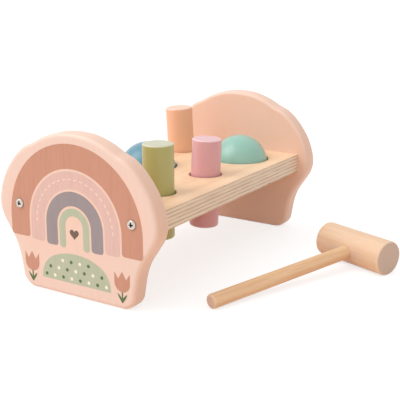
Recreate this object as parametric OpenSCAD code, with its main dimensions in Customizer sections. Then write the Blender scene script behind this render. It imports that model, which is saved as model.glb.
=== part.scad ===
/* [End panels] */
// Length of the bench over both end panels
bench_len = 233; // [228:0.5:260]
// Width of an end panel at its widest
panel_w = 137; // [128:0.5:150]
// Height of an end panel
panel_h = 114.8; // [106:0.1:125]
// Thickness of an end panel
panel_t = 14; // [12:0.5:20]
// Width of an end panel's foot
foot_w = 99.2; // [90:0.2:106]
// Radius of the foot's corners
foot_corner = 11; // [8:0.5:13]
// Radius that eases the panels' edges
panel_edge = 3; // [1:0.25:5]

/* [Plank] */
// Width of the plank
plank_w = 118.5; // [112:0.5:126]
// Thickness of the plank
plank_t = 15; // [12:0.5:18]
// Height of the plank's top above the floor
plank_h = 66.7; // [60:0.1:74]
// Radius that eases the plank's long edges
plank_edge = 0.8; // [0.2:0.1:2]
// Bevel round the rims of the holes
hole_edge = 0.4; // [0.3:0.1:1.5]
// Distance of the front hole's middle from the front panel
front_margin = 43.3; // [26:0.1:48]
// Distance of the back holes' middles from the back panel
back_margin = 36.9; // [27:0.1:42]

/* [Pegs] */
// Diameter of a peg
peg_d = 22.4; // [20:0.2:25]
// Length of a peg
peg_len = 68; // [60:0.5:70]
// Radius that eases a peg's ends
peg_edge = 1.4; // [0.6:0.2:3]
// Gap between a peg and the side of its hole
peg_play = 1.5; // [0.6:0.1:1.6]
// Distance of the olive and pink pegs from the middle line
near_peg_row = 29.6; // [27:0.1:34]
// Distance of the orange peg from the middle line
far_peg_row = 32.9; // [27:0.1:36]
// How far the olive peg stands above the plank
olive_proud = 35.2; // [25:0.1:40]
// How far the pink peg stands above the plank
pink_proud = 27.8; // [22:0.1:40]
// How far the orange peg stands above the plank
orange_proud = 37.1; // [25:0.1:40]
// Lean of the pink peg in its hole, in degrees
pink_lean = 2; // [-4:0.5:4]
// Lean of the orange peg in its hole, in degrees
orange_lean = -3; // [-4:0.5:4]

/* [Balls] */
// Diameter of a ball
ball_d = 45; // [42:0.5:47]
// Gap between a ball's middle and the side of its hole
ball_play = 1; // [0.8:0.1:2]
// Distance of the balls from the middle line
ball_row = 24.3; // [22:0.1:27]

/* [Grip rings] */
// Thickness of a rubber grip ring
ring_t = 3; // [2.4:0.1:4]
// How much smaller a ball's ring is than the ball, on the radius
ball_bite = 0.24; // [0.1:0.02:0.5]
// Gap between a peg and its stretched ring
peg_ring_gap = 0.1; // [0.06:0.01:0.2]
// Gap between a ball at rest and the ring that carries it
ball_ring_gap = 0.1; // [0.05:0.01:0.3]
// Gap between a ring and its groove
groove_gap = 0.1; // [0.05:0.05:0.3]

/* [Screws] */
// Diameter of a screw's shank
screw_d = 4; // [3:0.5:4.5]
// Length of a screw below its head
screw_len = 30; // [26:1:34]
// Length of a screw's point
screw_point = 5; // [3:0.5:6]
// Diameter of a screw's head
head_d = 6.6; // [6:0.2:9]
// Height of a screw's head
head_h = 2; // [1.6:0.1:2.6]
// Radius that rounds a screw's head
head_round = 1; // [0.6:0.1:1.4]
// How deep a screw's head is sunk in its panel
head_sink = 0.8; // [0.4:0.1:1.2]
// Gap round a screw's head
head_gap = 0.3; // [0.2:0.1:0.6]
// Gap round a screw's shank
screw_gap = 0.05; // [0.02:0.01:0.1]
// Distance of the screws from the plank's sides
screw_inset = 10.9; // [8:0.1:13]
// Height of the screws above the middle of the plank's thickness
screw_rise = 1.5; // [-2:0.5:2]
// Span of the cross in a screw's head
cross_span = 4.4; // [3:0.2:5]
// Width of an arm of the cross
cross_w = 1.3; // [0.8:0.1:1.4]
// Depth of the cross
cross_depth = 1.3; // [0.8:0.1:1.5]

/* [Mallet] */
// Diameter of the mallet's head
mallet_d = 26; // [24:0.1:34]
// Length of the mallet's head
mallet_len = 62; // [52:1:72]
// Radius that eases the ends of the mallet's head
mallet_edge = 1.6; // [1:0.1:4]
// Diameter of the handle
handle_d = 10.4; // [10:0.2:14]
// Length of the handle, with what is in the head
handle_len = 149; // [140:1:170]
// Radius that eases the handle's ends
handle_edge = 1.8; // [1:0.1:4]
// Depth of the socket that the handle is glued into
socket_depth = 19; // [14:0.5:21]
// Gap for the glue round the handle
glue_gap = 0.05; // [0.02:0.01:0.15]
// Where the mallet's head lies, to the side of the bench's middle
mallet_x = 136.3; // [130:0.1:180]
// Where the mallet's head lies, along the bench
mallet_y = 50.1; // [30:0.1:60]
// Turn of the mallet on the floor, in degrees
mallet_turn = -19.8; // [-25:0.1:-15]

/* [Hidden] */
$fn = 96;

// How far a cut runs past the face that it opens
overrun = 1;
// The leaning pegs lean to this side, in degrees from across the bench
lean_turn = 32;
// Turn of a foot's corner, up to where the side flares out, in degrees
corner_turn = 77;
// Outline of a panel above its foot, right half, bottom to top:
// each point is a share of half the width and a share of the height
outline_shares = [[0.737, 0.135], [0.768, 0.220], [0.820, 0.296], [0.899, 0.368], [0.973, 0.441],
                  [1.000, 0.518], [0.975, 0.605], [0.919, 0.690], [0.841, 0.763], [0.743, 0.831],
                  [0.638, 0.881], [0.522, 0.912], [0.380, 0.955], [0.196, 0.990], [0, 1]];
// Steps of a foot corner, of a stretch between two outline points and of an eased edge
corner_steps = 7;
stretch_steps = 5;
edge_steps = 3;

plank_len = bench_len - 2 * panel_t;
plank_mid = plank_h - plank_t / 2;
peg_r = peg_d / 2;
ball_r = ball_d / 2;
screw_r = screw_d / 2;
head_r = head_d / 2;
mallet_r = mallet_d / 2;
handle_r = handle_d / 2;

// The rows of holes: one near each end panel, and one halfway between them
front_station = front_margin - plank_len / 2;
back_station = plank_len / 2 - back_margin;
middle_station = (front_station + back_station) / 2;

peg_hole_r = peg_r + peg_play;
ball_hole_r = ball_r + ball_play;
peg_ring_r = peg_r + peg_ring_gap + ring_t / 2;
ball_ring_r = ball_r - ball_bite + ring_t / 2;
// A ball rests on its ring, so its middle is this high above the ring
ball_seat = sqrt(pow(ball_r + ball_ring_gap + ring_t / 2, 2) - pow(ball_ring_r, 2));

// The handle slopes until its free end meets the floor
handle_reach = handle_len - socket_depth + mallet_r;
slope_run = handle_reach - handle_edge;
slope_drop = handle_r - handle_edge;
handle_slope = asin((mallet_r - handle_edge) / norm([slope_run, slope_drop]))
    - atan2(slope_drop, slope_run);

// Half outline of a panel, from the foot to the top, and the whole of it
foot_arc = [for (i = [0:corner_steps]) let (a = corner_turn * i / corner_steps)
            [foot_w / 2 - foot_corner * (1 - sin(a)), foot_corner * (1 - cos(a))]];
flare_point = foot_arc[corner_steps];
shape_points = [for (s = outline_shares) [s[0] * panel_w / 2, s[1] * panel_h]];
last_but_one = shape_points[len(shape_points) - 2];
guide_points = concat([2 * flare_point - shape_points[0], flare_point], shape_points,
                      [[-last_but_one[0], last_but_one[1]]]);
half_outline = concat(foot_arc,
    [for (i = [1:len(guide_points) - 3]) for (j = [1:stretch_steps])
     curve_point(guide_points[i - 1], guide_points[i], guide_points[i + 1], guide_points[i + 2],
                 j / stretch_steps)]);
half_count = len(half_outline);
outline = concat(half_outline,
    [for (i = [half_count - 2:-1:0]) [-half_outline[i][0], half_outline[i][1]]]);
outline_count = len(outline);

// Rings of a panel's skin from its outer face to its inner face: [depth, inset]
ease = [for (i = [0:edge_steps]) let (a = 90 * i / edge_steps)
        [panel_edge * (1 - cos(a)), panel_edge * (1 - sin(a))]];
skin_rings = concat([for (e = ease) [e[0] - panel_t / 2, e[1]]],
    [for (i = [edge_steps:-1:0]) [panel_t / 2 - ease[i][0], ease[i][1]]]);

// Middle of the whole set across the bench, between the panels' far side and the mallet's head
mallet_side = mallet_x + (mallet_len / 2 - mallet_edge) * cos(mallet_turn)
    + (mallet_r - mallet_edge) * abs(sin(mallet_turn)) + mallet_edge;
panel_side = max([for (p = outline) p[0]]);
set_middle = (mallet_side - panel_side) / 2;

// Point at share t of the stretch from b to c, on a smooth curve through a, b, c and d
function curve_point(a, b, c, d, t) =
    (2 * b + (c - a) * t + (2 * a - 5 * b + 4 * c - d) * pow(t, 2)
     + (3 * b - a - 3 * c + d) * pow(t, 3)) / 2;

// Direction that points out of the outline at point i
function outward(i) =
    let (ahead = outline[(i + 1) % outline_count],
         behind = outline[(i + outline_count - 1) % outline_count],
         along = ahead - behind)
    [along[1], -along[0]] / norm(along);

// A round bar along Z, from 0 up, with eased ends
module turned_bar(radius, length, edge) {
    rotate_extrude() {
        square([radius - edge, length]);
        translate([0, edge]) square([radius, length - 2 * edge]);
        for (end = [edge, length - edge])
            translate([radius - edge, end]) circle(edge);
    }
}

// One end panel, standing on the floor, with its outer face towards -Y
module panel_blank() {
    n = outline_count;
    last = len(skin_rings) - 1;
    skin_points = [for (ring = skin_rings) for (i = [0:n - 1])
                   let (p = outline[i] - ring[1] * outward(i)) [p[0], ring[0], p[1]]];
    outer_face = [for (i = [n - 1:-1:0]) i];
    inner_face = [for (i = [0:n - 1]) last * n + i];
    sides = [for (j = [0:last - 1]) for (i = [0:n - 1])
             let (a = j * n + i, b = j * n + (i + 1) % n)
             each [[a, b, b + n], [a, b + n, a + n]]];
    polyhedron(points = skin_points, faces = concat([outer_face, inner_face], sides), convexity = 4);
}

// Cut for one screw: its shank's hole and the seat of its head, running in along Z
module screw_cut(depth) {
    translate([0, 0, -overrun]) cylinder(h = depth + overrun, r = screw_r + screw_gap);
    translate([0, 0, -overrun]) cylinder(h = head_sink + overrun, r = head_r + head_gap);
}

module drilled_panel() {
    difference() {
        panel_blank();
        for (side = [-1, 1])
            translate([side * (plank_w / 2 - screw_inset), -panel_t / 2, plank_mid + screw_rise])
                rotate([-90, 0, 0]) screw_cut(panel_t + overrun);
    }
}

// Puts a child that is made at the outer face of an end panel on the front or the back end
module at_end(back, side) {
    rotate([0, 0, back ? 180 : 0])
        translate([side * (plank_w / 2 - screw_inset), -bench_len / 2, plank_mid + screw_rise])
            rotate([-90, 0, 0]) children();
}

// The set stands with the middle of its bounding box at the origin
module in_set() {
    translate([-set_middle, 0, 0]) children();
}

// A hole with bevelled rims and its ring's groove, cut at one place of the plank
module grip_hole(hole_r, ring_r) {
    cylinder(h = plank_t + 2 * overrun, r = hole_r, center = true);
    cylinder(h = ring_t + 2 * groove_gap, r = ring_r + ring_t / 2 + groove_gap, center = true);
    for (under = [0, 1]) mirror([0, 0, under]) translate([0, 0, plank_t / 2 - hole_edge])
        cylinder(h = hole_edge + overrun, r1 = hole_r, r2 = hole_r + hole_edge + overrun);
}

// A pan head screw that runs in along Z from the panel's face
module screw() {
    difference() {
        translate([0, 0, head_sink]) mirror([0, 0, 1]) rotate_extrude() {
            square([head_r - head_round, head_h]);
            square([head_r, head_h - head_round]);
            translate([head_r - head_round, head_h - head_round]) circle(head_round);
        }
        for (turn = [0, 90]) rotate([0, 0, turn])
            translate([-cross_span / 2, -cross_w / 2, head_sink - head_h - overrun])
                cube([cross_span, cross_w, cross_depth + overrun]);
    }
    translate([0, 0, head_sink]) cylinder(h = screw_len - screw_point, r = screw_r);
    translate([0, 0, head_sink + screw_len - screw_point])
        cylinder(h = screw_point, r1 = screw_r, r2 = 0);
}

// A peg that stands proud of the plank and leans about the middle of its hole
module peg(x, y, proud, lean) {
    translate([x, y, plank_mid])
        rotate([0, 0, lean_turn]) rotate([0, lean, 0])
            translate([0, 0, plank_t / 2 + proud - peg_len]) turned_bar(peg_r, peg_len, peg_edge);
}

module ball(x, y) {
    translate([x, y, plank_mid + ball_seat]) sphere(r = ball_r);
}

// A rubber ring of round section in the plank's groove
module grip_ring(x, y, ring_r) {
    translate([x, y, plank_mid]) rotate_extrude() translate([ring_r, 0]) circle(ring_t / 2);
}

// Holds the mallet as it lies: its head along X, its handle towards -Y and down to the floor
module as_it_lies() {
    translate([mallet_x, mallet_y, mallet_r])
        rotate([0, 0, mallet_turn]) rotate([handle_slope, 0, 0]) children();
}

module front_panel() {
    color("#F1D2BF") in_set()
        translate([0, -(plank_len + panel_t) / 2, 0]) drilled_panel();
}

module back_panel() {
    color("#EFC3A4") in_set()
        rotate([0, 0, 180]) translate([0, -(plank_len + panel_t) / 2, 0]) drilled_panel();
}

module bench_plank() {
    color("#F3CFAA") in_set() difference() {
        translate([0, 0, plank_mid]) rotate([90, 0, 0]) linear_extrude(height = plank_len, center = true) {
            square([plank_w - 2 * plank_edge, plank_t], center = true);
            square([plank_w, plank_t - 2 * plank_edge], center = true);
            for (x = [-1, 1]) for (y = [-1, 1])
                translate([x * (plank_w / 2 - plank_edge), y * (plank_t / 2 - plank_edge)])
                    circle(plank_edge);
        }
        translate([0, 0, plank_mid]) {
            translate([near_peg_row, front_station]) grip_hole(peg_hole_r, peg_ring_r);
            translate([near_peg_row, middle_station]) grip_hole(peg_hole_r, peg_ring_r);
            translate([-far_peg_row, back_station]) grip_hole(peg_hole_r, peg_ring_r);
            translate([-ball_row, middle_station]) grip_hole(ball_hole_r, ball_ring_r);
            translate([ball_row, back_station]) grip_hole(ball_hole_r, ball_ring_r);
        }
        for (back = [false, true]) for (side = [-1, 1])
            at_end(back, side) translate([0, 0, panel_t - overrun])
                cylinder(h = head_sink + screw_len - panel_t + overrun + screw_r, r = screw_r + screw_gap);
    }
}

module olive_peg() {
    color("#A89B65") in_set() peg(near_peg_row, front_station, olive_proud, 0);
}

module pink_peg() {
    color("#D6969A") in_set() peg(near_peg_row, middle_station, pink_proud, pink_lean);
}

module orange_peg() {
    color("#EBA77F") in_set() peg(-far_peg_row, back_station, orange_proud, orange_lean);
}

module blue_ball() {
    color("#7FB2CC") in_set() ball(-ball_row, middle_station);
}

module mint_ball() {
    color("#A2D3C2") in_set() ball(ball_row, back_station);
}

module olive_peg_ring() {
    color("#4A4642") in_set() grip_ring(near_peg_row, front_station, peg_ring_r);
}

module pink_peg_ring() {
    color("#4A4642") in_set() grip_ring(near_peg_row, middle_station, peg_ring_r);
}

module orange_peg_ring() {
    color("#4A4642") in_set() grip_ring(-far_peg_row, back_station, peg_ring_r);
}

module blue_ball_ring() {
    color("#4A4642") in_set() grip_ring(-ball_row, middle_station, ball_ring_r);
}

module mint_ball_ring() {
    color("#4A4642") in_set() grip_ring(ball_row, back_station, ball_ring_r);
}

module front_screw_left() {
    color("#C9C5C0") in_set() at_end(false, -1) screw();
}

module front_screw_right() {
    color("#C9C5C0") in_set() at_end(false, 1) screw();
}

module back_screw_left() {
    color("#C9C5C0") in_set() at_end(true, -1) screw();
}

module back_screw_right() {
    color("#C9C5C0") in_set() at_end(true, 1) screw();
}

module mallet_head() {
    color("#F3CBAC") in_set() as_it_lies() difference() {
        translate([-mallet_len / 2, 0, 0]) rotate([0, 90, 0])
            turned_bar(mallet_r, mallet_len, mallet_edge);
        translate([0, socket_depth - mallet_r, 0]) rotate([90, 0, 0])
            cylinder(h = socket_depth + overrun, r = handle_r + glue_gap);
    }
}

module mallet_handle() {
    color("#E2BA91") in_set() as_it_lies()
        translate([0, socket_depth - mallet_r, 0]) rotate([90, 0, 0])
            turned_bar(handle_r, handle_len, handle_edge);
}

front_panel();
back_panel();
bench_plank();
olive_peg();
pink_peg();
orange_peg();
blue_ball();
mint_ball();
olive_peg_ring();
pink_peg_ring();
orange_peg_ring();
blue_ball_ring();
mint_ball_ring();
front_screw_left();
front_screw_right();
back_screw_left();
back_screw_right();
mallet_head();
mallet_handle();
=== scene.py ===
from math import asin, atan2, cos, hypot, pi, radians, sin, sqrt
import bmesh
import bpy
from mathutils import Euler, Matrix, Vector


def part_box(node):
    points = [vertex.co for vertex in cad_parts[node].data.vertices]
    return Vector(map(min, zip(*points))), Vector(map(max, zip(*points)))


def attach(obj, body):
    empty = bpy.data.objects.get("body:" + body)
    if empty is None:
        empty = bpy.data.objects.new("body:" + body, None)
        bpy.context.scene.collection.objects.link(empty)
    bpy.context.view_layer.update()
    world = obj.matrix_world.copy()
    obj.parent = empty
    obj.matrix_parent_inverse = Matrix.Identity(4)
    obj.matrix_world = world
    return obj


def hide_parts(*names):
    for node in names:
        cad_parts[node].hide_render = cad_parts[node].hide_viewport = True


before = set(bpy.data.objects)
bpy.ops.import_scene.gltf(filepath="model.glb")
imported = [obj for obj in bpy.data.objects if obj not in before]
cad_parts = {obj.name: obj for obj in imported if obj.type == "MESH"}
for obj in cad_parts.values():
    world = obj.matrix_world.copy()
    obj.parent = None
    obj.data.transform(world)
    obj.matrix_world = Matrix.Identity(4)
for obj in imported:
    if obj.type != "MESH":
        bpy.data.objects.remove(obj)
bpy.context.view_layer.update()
scene = bpy.context.scene
mm = 0.001
rightAngle = pi / 2

print("camera")
camera = {
    "place": (0.3649, -0.5377, 0.2249),    # in metres, from the middle of the bench
    "down": 15.70,        # degrees below level
    "turn": 32.16,        # degrees round from the front
    "lens": 77.29, "sensor": 36.0,
    "near": 0.02, "far": 30.0,
}
plankLow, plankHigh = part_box("bench_plank")
lensData = bpy.data.cameras.new("camera")
lensData.lens = camera["lens"]
lensData.sensor_width = camera["sensor"]
lensData.clip_start = camera["near"]
lensData.clip_end = camera["far"]
eye = bpy.data.objects.new("camera", lensData)
scene.collection.objects.link(eye)
eye.location = Vector(camera["place"]) + Vector(((plankLow.x + plankHigh.x) / 2, 0, 0))
eye.rotation_euler = (radians(90 - camera["down"]), 0, radians(camera["turn"]))
scene.camera = eye


# Colours are written as 0-255 screen values
def tone(red, green, blue):
    shares = [value / 255 for value in (red, green, blue)]
    return tuple(v / 12.92 if v <= 0.04045 else ((v + 0.055) / 1.055) ** 2.4 for v in shares) + (1.0,)


# A value inside a node tree. A sum of such values makes the Math nodes for it
class Term:
    def __init__(self, tree, socket):
        self.tree, self.socket = tree, socket

    def __add__(self, other):
        return calc("ADD", self, other)

    def __sub__(self, other):
        return calc("SUBTRACT", self, other)

    def __rsub__(self, other):
        return calc("SUBTRACT", other, self)

    def __mul__(self, other):
        return calc("MULTIPLY", self, other)

    def __truediv__(self, other):
        return calc("DIVIDE", self, other)

    def __mod__(self, other):
        return calc("MODULO", self, other)


# Gives a node's sockets their values: terms are linked, plain values are set
def setSockets(node, values):
    for socket, value in values.items():
        if isinstance(value, Term):
            value.tree.links.new(value.socket, node.inputs[socket])
        else:
            node.inputs[socket].default_value = value


# A node of a shader or geometry tree, with values by socket name or number
def addNode(tree, kind, values, **settings):
    node = tree.nodes.new(kind)
    for name, value in settings.items():
        setattr(node, name, value)
    setSockets(node, values)
    return node


# The same, but gives one of the node's outputs
def newTerm(tree, kind, values=(), output=0, **settings):
    return Term(tree, addNode(tree, kind, dict(values), **settings).outputs[output])


def treeOf(values):
    return next(value.tree for value in values if isinstance(value, Term))


def calc(operation, *values):
    return newTerm(treeOf(values), "ShaderNodeMath", enumerate(values), operation=operation)


# Gives a vector, or a number for a length and a dot product. Socket 3 takes a scale's factor
def calcVector(operation, first, second=None):
    values = {0: first}
    if second is not None:
        values[3 if operation == "SCALE" else 1] = second
    output = 1 if operation in ("LENGTH", "DOT_PRODUCT") else 0
    return newTerm(first.tree, "ShaderNodeVectorMath", values, output, operation=operation)


def joinParts(x=0.0, y=0.0, z=0.0):
    return newTerm(treeOf((x, y, z)), "ShaderNodeCombineXYZ", {0: x, 1: y, 2: z})


def splitParts(place):
    parts = addNode(place.tree, "ShaderNodeSeparateXYZ", {0: place}).outputs
    return [Term(place.tree, part) for part in parts]


def attributeOf(spot, name):
    return newTerm(spot.tree, "ShaderNodeAttribute", output="Fac", attribute_name=name)


def blendTones(share, first, second):
    return newTerm(share.tree, "ShaderNodeMix", {0: share, 6: first, 7: second}, 2, data_type="RGBA")


def ramp(value, low, high, bottom=0.0, top=1.0):
    values = {0: value, 1: low, 2: high, 3: bottom, 4: top}
    return newTerm(value.tree, "ShaderNodeMapRange", values, interpolation_type="SMOOTHSTEP")


def noise(place, scale, detail=2.0, roughness=0.5, distortion=0.0):
    return newTerm(place.tree, "ShaderNodeTexNoise", {
        "Vector": place, "Scale": scale, "Detail": detail, "Roughness": roughness, "Distortion": distortion})


# A node group with named inputs, and the terms of those inputs
def newGroup(name, kind, takes, gives):
    group = bpy.data.node_groups.new(name, kind)
    for way, sockets in (("INPUT", takes), ("OUTPUT", gives)):
        for label, (socketKind, value) in sockets.items():
            socket = group.interface.new_socket(label, in_out=way, socket_type=socketKind)
            if value is not None:
                socket.default_value = value
    inside = group.nodes.new("NodeGroupInput").outputs
    return group, {label: Term(group, inside[label]) for label in takes}


number, colour, vector, whole = ("NodeSocketFloat", "NodeSocketColor", "NodeSocketVector", "NodeSocketInt")
solidThing, finishThing, modelThing = ("NodeSocketGeometry", "NodeSocketMaterial", "NodeSocketObject")

print("shared effects")


def makeWoodGrain():
    group, takes = newGroup("woodGrain", "ShaderNodeTree", {
        "Vector": (vector, None),
        "Stretch": (vector, (1.0, 1.0, 1.0)),
        "Fleck Length": (number, 0.25),
    }, {"Fibres": (number, None), "Bands": (number, None), "Flecks": (number, None)})
    along = calcVector("MULTIPLY", takes["Vector"], takes["Stretch"])
    dashes = noise(calcVector("MULTIPLY", along, takes["Fleck Length"]), 4.2, detail=1.0, roughness=0.4)
    addNode(group, "NodeGroupOutput", {
        "Fibres": noise(along, 1.0, detail=5.0, roughness=0.62),
        "Bands": noise(along, 0.13, distortion=0.7),
        "Flecks": ramp(dashes, 0.60, 0.70)})
    return group


def makeFinishMottle():
    group, takes = newGroup("finishMottle", "ShaderNodeTree", {
        "Color": (colour, (0.8, 0.8, 0.8, 1.0)),
        "Vector": (vector, None),
        "Scale": (number, 60.0),
        "Amount": (number, 0.03),
        "Roughness": (number, 0.4),
        "Roughness Change": (number, 0.06),
    }, {"Color": (colour, None), "Roughness": (number, None)})

    def swing(scale, detail, amount, middle):
        return (noise(takes["Vector"], scale, detail) - 0.5) * (amount * 2.0) + middle

    gain = swing(takes["Scale"], 3.0, takes["Amount"], 1.0)
    addNode(group, "NodeGroupOutput", {
        "Color": calcVector("SCALE", takes["Color"], gain),
        "Roughness": swing(takes["Scale"] * 2.7, 4.0, takes["Roughness Change"], takes["Roughness"])})
    return group


# Pales the eased edges: partly wear, partly a painted highlight where the rims catch the light
def makeEdgeWearAndSheen():
    group, takes = newGroup("edgeWearAndSheen", "ShaderNodeTree", {
        "Color": (colour, (0.8, 0.8, 0.8, 1.0)),
        "Wear And Sheen": (colour, (0.9, 0.9, 0.9, 1.0)),
        "Rim": (number, 0.0),
        "Vector": (vector, None),
        "Scale": (number, 150.0),
        "Amount": (number, 0.5),
    }, {"Color": (colour, None)})
    rimNoise = noise(takes["Vector"], takes["Scale"], detail=3.0, roughness=0.6)
    mask = ramp(takes["Rim"] * (rimNoise * 0.9 + 0.5), 0.25, 0.95) * takes["Amount"]
    addNode(group, "NodeGroupOutput", {"Color": blendTones(mask, takes["Color"], takes["Wear And Sheen"])})
    return group


woodGrain = makeWoodGrain()
finishMottle = makeFinishMottle()
edgeWearAndSheen = makeEdgeWearAndSheen()


def useGroup(group, values):
    tree = treeOf(values.values())
    outputs = addNode(tree, "ShaderNodeGroup", values, node_tree=group).outputs
    return {socket.name: Term(tree, socket) for socket in outputs}


# A new material, with plain values on its shader's own sockets
def newMaterial(name, values):
    material = bpy.data.materials.new(name)
    material.use_nodes = True
    shader = material.node_tree.nodes["Principled BSDF"]
    setSockets(shader, values)
    return material, shader


# The same, with object coordinates centred and turned on its piece
def startMaterial(name, values, place=(0, 0, 0), turn=(0, 0, 0)):
    material, shader = newMaterial(name, values)
    corners = newTerm(material.node_tree, "ShaderNodeTexCoord", output="Object")
    spot = newTerm(corners.tree, "ShaderNodeMapping", {0: corners, 1: place, 2: turn}, vector_type="TEXTURE")
    return material, shader, spot


def coatOf(look):
    return {"Coat Weight": look["coat"], "Coat Roughness": look["coatRoughness"]}


def grainOf(spot, look):
    return useGroup(woodGrain, {
        "Vector": spot, "Stretch": look["stretch"], "Fleck Length": look["fleckLength"]})


# Mottles a colour by the look's own values, and the shader's roughness with it
def mottled(shader, spot, under, look):
    coat = useGroup(finishMottle, {
        "Color": under, "Vector": spot, "Scale": look["mottleScale"], "Amount": look["mottle"],
        "Roughness": look["roughness"], "Roughness Change": look["smear"]})
    setSockets(shader, {"Roughness": coat["Roughness"]})
    return coat["Color"]


# Pales a colour along the eased edges: partly wear, partly a painted highlight on the rims
def rimWearAndSheen(spot, under, look):
    return useGroup(edgeWearAndSheen, {
        "Color": under, "Wear And Sheen": look["paleWearAndSheen"], "Rim": attributeOf(spot, "rim"), "Vector": spot,
        "Scale": look["wearAndSheenScale"], "Amount": look["wearAndSheen"]})["Color"]


# Sets the shader's colour, and a fine relief in metres
def showFinish(shader, shown, height, strength, distance=0.0002):
    relief = {"Strength": strength, "Distance": distance, "Height": height}
    setSockets(shader, {"Base Color": shown, "Normal": newTerm(height.tree, "ShaderNodeBump", relief)})


# Satin paint over wood: soft mottle, rims paled partly by wear and partly by a painted highlight, and a trace
# of the grain beneath
def paintOver(name, look, place=(0, 0, 0), turn=(0, 0, 0)):
    material, shader, spot = startMaterial(name, coatOf(look), place, turn)
    shown = look["tone"]
    if "ground" in look:      # painted sheen: a paler tone on the front face, where the light falls strongest
        shown = blendTones(attributeOf(spot, "front"), shown, look["ground"])
    shown = rimWearAndSheen(spot, mottled(shader, spot, shown, look), look)
    fibres = grainOf(spot, look)["Fibres"]
    shown = blendTones(ramp(fibres, 0.35, 0.75) * look["streak"], shown, look["deep"])
    if "chalkAndTopLightShare" in look:      # paler end faces: partly chalkier paint on the end grain, partly painted light from above on the pegs' tops
        shown = blendTones(attributeOf(spot, "endGrain") * look["chalkAndTopLightShare"], shown, look["chalkAndTopLight"])
    showFinish(shader, shown, fibres * 0.6 + noise(spot, look["skinScale"]), look["bump"])
    return material


# What all paint and printing ink has, unless its own look says otherwise
satin = {
    "coat": 0.25, "coatRoughness": 0.3, "roughness": 0.42, "smear": 0.08,
    "mottleScale": 45.0, "mottle": 0.02, "wearAndSheenScale": 220.0, "wearAndSheen": 0.55,
    "stretch": (900.0, 900.0, 60.0), "fleckLength": 0.25, "streak": 0.10, "skinScale": 900.0,
    "bump": 0.12,
}
# In metres: how close points are joined, and how thin a sliver is
weld = {"new": 1e-7, "cut": 2e-6, "sliver": 1e-6}


def middleOf(node):
    low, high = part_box(node)
    return (low + high) / 2


def newObject(name, mesh):
    piece = bpy.data.objects.new(name, mesh)
    scene.collection.objects.link(piece)
    return piece


# Turns what the modifiers make into a plain mesh
def settle(piece):
    bpy.context.view_layer.update()
    graph = bpy.context.evaluated_depsgraph_get()
    mesh = bpy.data.meshes.new_from_object(piece.evaluated_get(graph), depsgraph=graph)
    piece.modifiers.clear()
    piece.data = mesh
    return mesh


# Takes the cutters' shapes out of a piece, and then removes the cutters
def cutAway(piece, cutters):
    for cutter in cutters:
        cut = piece.modifiers.new("cut", "BOOLEAN")
        cut.operation = "DIFFERENCE"
        cut.solver = "EXACT"
        cut.object = cutter
    mesh = settle(piece)
    for cutter in cutters:
        bpy.data.objects.remove(cutter)
    # clears the slivers that cutting leaves
    body = bmesh.new()
    body.from_mesh(mesh)
    bmesh.ops.remove_doubles(body, verts=body.verts, dist=weld["cut"])
    bmesh.ops.dissolve_degenerate(body, edges=body.edges, dist=weld["sliver"])
    body.to_mesh(mesh)
    body.free()


def meshFrom(name, points, faces):
    mesh = bpy.data.meshes.new(name)
    mesh.from_pydata([tuple(p) for p in points], [], faces)
    body = bmesh.new()
    body.from_mesh(mesh)
    bmesh.ops.remove_doubles(body, verts=body.verts, dist=weld["new"])
    bmesh.ops.recalc_face_normals(body, faces=body.faces)
    body.to_mesh(mesh)
    body.free()
    return mesh


# Closed walls between stacks of rings, with flat ends. A stack's rings have equal counts of points
def skinMesh(name, *stacks):
    points, faces = [], []
    for rings in stacks:
        count, start = len(rings[0]), len(points)
        for ring in rings:
            points += ring
        last = len(points) - count
        for a in range(start, last):
            i = (a - start) % count
            b = a - i + (i + 1) % count
            faces.append((a, b, b + count, a + count))
        faces += [tuple(range(start, start + count)), tuple(range(last, last + count))]
    return meshFrom(name, points, faces)


# A closed turned shape about Z with flat ends, from (radius, height) points
def latheMesh(name, profile, around):
    angles = [2 * pi * i / around for i in range(around)]
    return skinMesh(name, [[(r * cos(a), r * sin(a), h) for a in angles] for r, h in profile])


# A turned tool for cutAway, with its sizes in mm
def turnedCutter(profile, placing, around):
    mesh = latheMesh("cutter", [(r * mm, h * mm) for r, h in profile], around)
    mesh.transform(placing)
    return newObject("cutter", mesh)


# Turned cutters at the two screws of an end, which go in from a face towards the bench's middle
def screwCutters(end, face, profile, around):
    cutters, turn = [], Matrix.Rotation(-rightAngle if end == "front" else rightAngle, 4, "X")
    for side in ("left", "right"):
        place = middleOf(f"{end}_screw_{side}")
        cutters.append(turnedCutter(profile, Matrix.Translation((place.x, face, place.z)) @ turn, around))
    return cutters


# Points along an arc, between two angles in degrees
def arcPoints(x, z, radius, first, last, steps):
    angles = [radians(first + (last - first) * i / steps) for i in range(steps + 1)]
    return [(x + radius * cos(a), z + radius * sin(a)) for a in angles]


# Stores a share from 0 to 1 on each point
def markPoints(mesh, name, rule):
    marks = mesh.attributes.new(name, "FLOAT", "POINT")
    for vertex in mesh.vertices:
        marks.data[vertex.index].value = max(0.0, min(1.0, rule(vertex)))


# Marks eased edges: 1 where the surface leans halfway from the axis, 0 on flats and sides
def markRims(mesh, axis):
    axis = Vector(axis).normalized()

    def rim(vertex):
        lean = min(1.0, abs(vertex.normal.dot(axis)))
        return 2 * lean * sqrt(1 - lean * lean)

    markPoints(mesh, "rim", rim)


# Smooth shading, but for edges that turn by more than an angle in degrees
def smoothOver(mesh, angle=32):
    mesh.shade_smooth()
    mesh.set_sharp_from_angle(angle=radians(angle))


# Gives a piece its material and the body that it moves with, and hides the CAD nodes that it stands for
def dress(piece, material, body, slotName, nodes=()):
    piece.data.materials.clear()
    piece.data.materials.append(material)
    finishPiece(piece, body, slotName, nodes)


def finishPiece(piece, body, slotName, nodes=()):
    if nodes:
        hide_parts(*nodes)
    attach(piece, body)


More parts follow.
